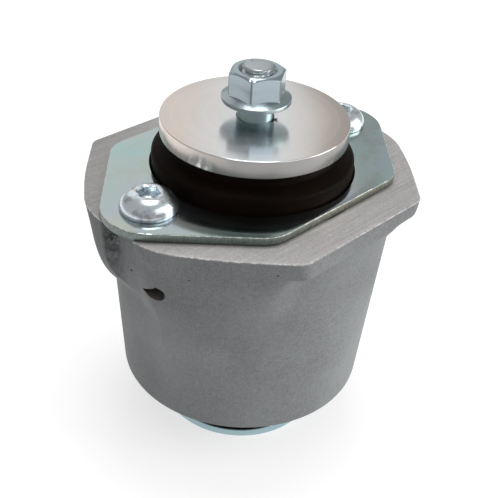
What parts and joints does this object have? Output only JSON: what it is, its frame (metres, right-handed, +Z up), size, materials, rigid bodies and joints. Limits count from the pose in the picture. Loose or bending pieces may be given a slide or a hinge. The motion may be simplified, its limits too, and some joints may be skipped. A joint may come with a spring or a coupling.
{
  "type": "engine mount",
  "caption": "Cast cup with bolting ears holding a rubber bush under a zinc-plated plate, with a turned disc and a flange nut on its through bolt.",
  "frame": {"origin": "centre of the lower disc's bottom face, on the through bolt's axis", "axes": "+Z up the through bolt's axis towards the nut; the two plate screws lie on X, the one nearer the picture's camera on -X; Y runs across the flange's straight sides"},
  "size_m": [0.1133, 0.0944, 0.128],
  "materials": {
    "cast_housing": "as-cast matte grey, fine milled top face",
    "zinc_plate": "blue-green zinc plate, satin",
    "screw_zinc": "bright zinc plate",
    "bush_steel": "plain drawn steel",
    "bush_rubber": "moulded, satin black",
    "turned_disc": "face-turned, half bright",
    "bolt_zinc": "zinc plate",
    "nut_zinc": "bright zinc plate"
  },
  "bodies": {
    "root": {"housing": "cast_housing", "retaining_plate": "zinc_plate", "front_screw": "screw_zinc", "rear_screw": "screw_zinc", "outer_sleeve": "bush_steel", "rubber_bush": "bush_rubber", "centre_core": "bush_steel", "bottom_disc": "zinc_plate", "top_disc": "turned_disc", "centre_bolt": "bolt_zinc", "flange_nut": "nut_zinc"}
  },
  "joints": []
}
